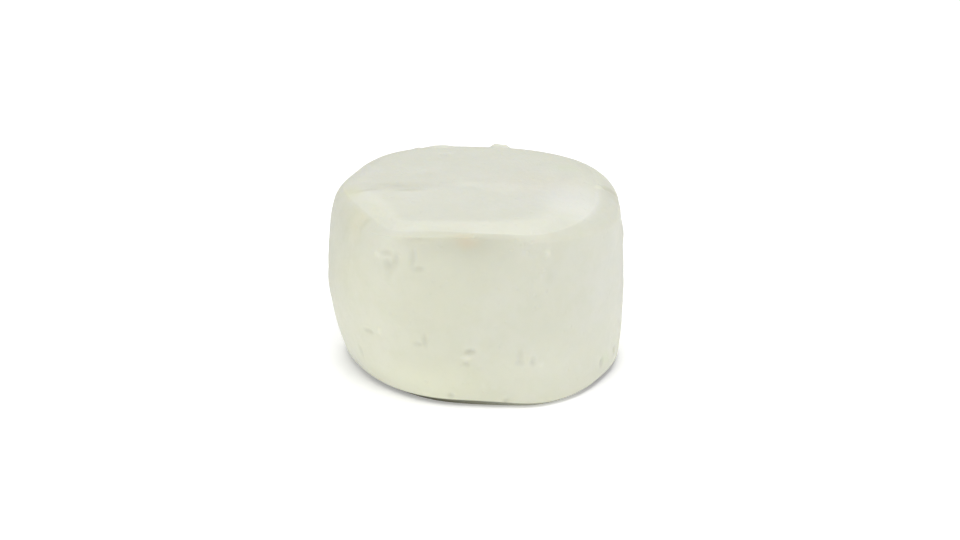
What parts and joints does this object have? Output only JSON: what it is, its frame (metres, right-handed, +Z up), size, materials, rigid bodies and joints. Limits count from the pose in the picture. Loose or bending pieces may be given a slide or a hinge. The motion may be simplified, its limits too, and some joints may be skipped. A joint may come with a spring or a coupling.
{
  "type": "ricotta salata wheel",
  "caption": "Whole wheel of pressed, salted white cheese with a rounded rim, a bulging uneven side with soft flats round the front, and a flat base.",
  "frame": {"origin": "middle of the wheel's bounding box, on the flat base it stands on", "axes": "+Z up from the base, -Y to the front that the picture shows, +X to the right as seen from the front"},
  "size_m": [0.1848, 0.1832, 0.1136],
  "materials": {
    "pressed_cheese": null
  },
  "bodies": {
    "root": {"cheese_wheel": "pressed_cheese"}
  },
  "joints": []
}
